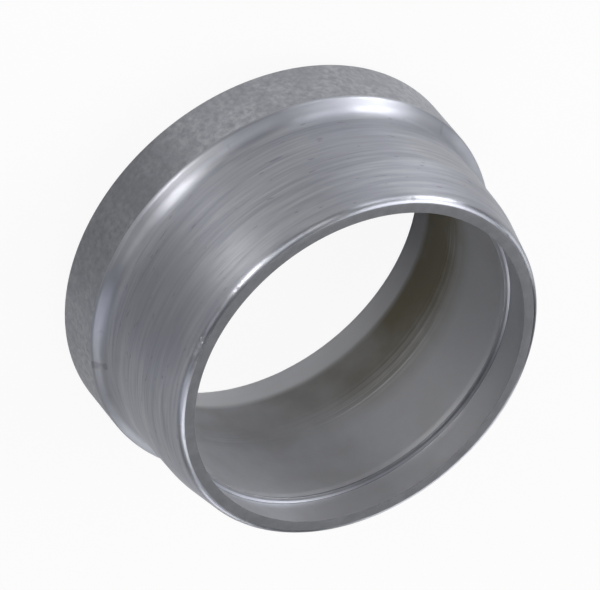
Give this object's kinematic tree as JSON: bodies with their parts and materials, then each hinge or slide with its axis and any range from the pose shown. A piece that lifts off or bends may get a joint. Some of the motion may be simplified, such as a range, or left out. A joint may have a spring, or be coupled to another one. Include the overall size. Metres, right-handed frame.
{
  "type": "cutting ring",
  "caption": "Turned steel ring with a tapered nose, a stepped collar with a 45 degree rear chamfer, and a bore with two cutting edges, for a compression tube fitting",
  "frame": {"origin": "centre of the rear face, which the ring stands on", "axes": "+Z runs along the ring's axis from the rear face to the cutting nose; the ring is the same all round, so X and Y are free"},
  "size_m": [0.0184, 0.0184, 0.0098],
  "materials": {
    "zinc_coated_steel": "satin zinc-coated steel with fine turning marks, blasted grain on the collar"
  },
  "bodies": {
    "root": {"cutting_ring": "zinc_coated_steel"}
  },
  "joints": []
}
